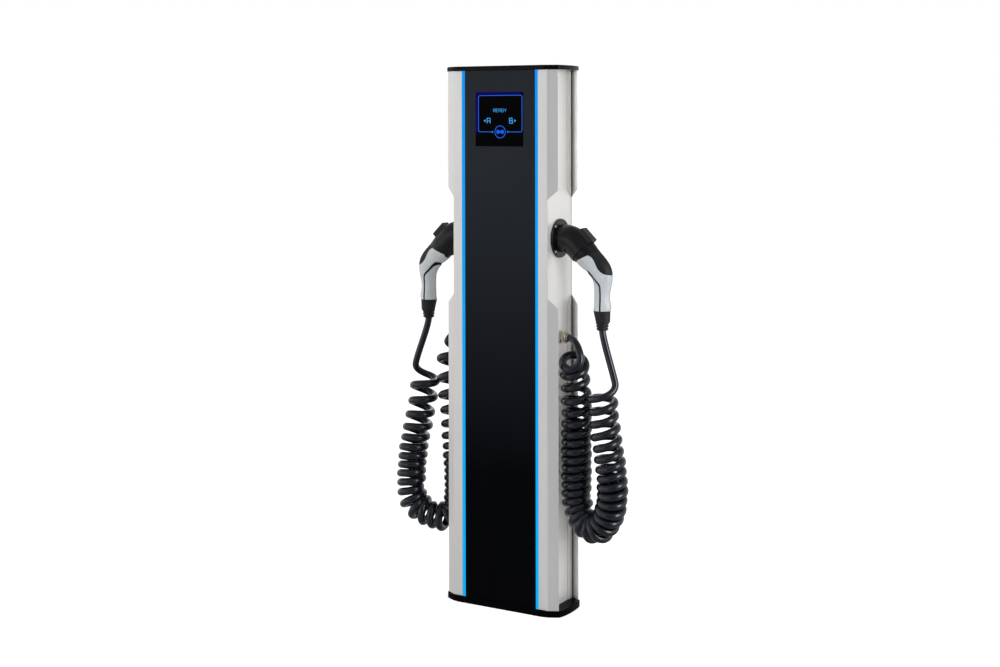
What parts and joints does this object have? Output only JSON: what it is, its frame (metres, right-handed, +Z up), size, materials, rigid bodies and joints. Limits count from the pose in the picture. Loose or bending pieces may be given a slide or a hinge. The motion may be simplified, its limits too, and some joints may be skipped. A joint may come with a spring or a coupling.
{
  "type": "ev charging post",
  "caption": "Slim free-standing car charging pillar with a lit front panel, a display, holstered plugs and coiled cables on both sides and a rear service door.",
  "frame": {"origin": "centre of the plinth's underside", "axes": "+Z up, front panel faces -Y, outlet B on +X"},
  "size_m": [0.6793, 0.149, 1.4],
  "materials": {
    "black_coat": "fine satin powder coat",
    "anodised": "satin anodised extrusion",
    "side_sheet": "satin anodised sheet",
    "gloss_black": "glossy moulded cap",
    "opal_blue": "lit opal diffuser",
    "light_board": "white circuit strip",
    "display_glass": "black printed glass",
    "black_plastic": "fine-grained moulded plastic",
    "grey_plastic": "satin moulded grip shell",
    "circuit_board": "solder mask",
    "zinc_steel": "zinc plated",
    "stainless": "bright stainless",
    "nickel": "nickel plated brass",
    "brass": "plain brass",
    "seal_rubber": "EPDM",
    "cable_jacket": "glossy polyurethane jacket",
    "device_grey": "light grey device housing",
    "toggle_blue": "toggle lever"
  },
  "bodies": {
    "post": {"base_plate": "black_coat", "base_screws": "zinc_steel", "top_plate": "zinc_steel", "top_plate_screws": "zinc_steel", "top_cap": "gloss_black", "top_cap_screws": "zinc_steel", "front_right_wing": "anodised", "front_left_wing": "anodised", "rear_right_wing": "anodised", "rear_left_wing": "anodised", "right_side_panel": "side_sheet", "left_side_panel": "side_sheet", "front_panel": "black_coat", "front_panel_screws": "zinc_steel", "light_diffusers": "opal_blue", "light_boards": "light_board", "display_window": "display_glass", "display_housing": "black_plastic", "display_nuts": "zinc_steel", "display_board": "circuit_board", "card_reader_antenna": "circuit_board", "door_seal": "seal_rubber", "hinge_frame_halves": "stainless", "hinge_pins": "stainless", "mounting_plate": "zinc_steel", "plate_brackets": "zinc_steel", "bracket_screws": "zinc_steel", "din_rails": "zinc_steel", "breakers": "device_grey", "contactors": "device_grey", "energy_meters": "device_grey", "charge_controller": "device_grey", "power_supply": "device_grey", "supply_terminals": "device_grey", "earth_bar": "brass", "holster_gaskets": "seal_rubber", "holster_screws": "stainless", "cable_glands": "nickel", "gland_locknuts": "nickel", "right_holster": "black_plastic", "right_cable": "cable_jacket", "left_holster": "black_plastic", "left_cable": "cable_jacket"},
    "door": {"rear_door": "black_coat", "hinge_door_halves": "stainless", "door_lock_barrel": "stainless"},
    "lock": {"door_lock_cylinder": "stainless", "door_lock_cam": "zinc_steel"},
    "toggle_a": {"breaker_a_toggle": "toggle_blue"},
    "toggle_b": {"breaker_b_toggle": "toggle_blue"},
    "right_plug": {"right_plug_nose": "black_plastic", "right_plug_contacts": "brass", "right_plug_shells": "grey_plastic", "right_plug_cover": "black_plastic", "right_plug_boot": "seal_rubber"},
    "left_plug": {"left_plug_nose": "black_plastic", "left_plug_contacts": "brass", "left_plug_shells": "grey_plastic", "left_plug_cover": "black_plastic", "left_plug_boot": "seal_rubber"}
  },
  "joints": [
    {"name": "right_plug_slide", "type": "slide", "parent": "post", "child": "right_plug", "axis": [0.7071, 0, -0.7071], "range_m": [0, 0.06], "deforming": ["right_cable"]},
    {"name": "left_plug_slide", "type": "slide", "parent": "post", "child": "left_plug", "axis": [-0.7071, 0, -0.7071], "range_m": [0, 0.06], "deforming": ["left_cable"]},
    {"name": "rear_door_hinge", "type": "hinge", "parent": "post", "child": "door", "pos_m": [-0.1143, 0.0725, 0.702], "axis": [0, 0, 1], "range_deg": [0, 110]},
    {"name": "door_lock_turn", "type": "hinge", "parent": "door", "child": "lock", "pos_m": [0.076, 0.062, 0.76], "axis": [0, -1, 0], "range_deg": [0, 90]},
    {"name": "breaker_a_rock", "type": "hinge", "parent": "post", "child": "toggle_a", "pos_m": [-0.04, 0.041, 0.56], "axis": [-1, 0, 0], "range_deg": [0, 80]},
    {"name": "breaker_b_rock", "type": "hinge", "parent": "post", "child": "toggle_b", "pos_m": [0.04, 0.041, 0.56], "axis": [-1, 0, 0], "range_deg": [0, 80]}
  ]
}
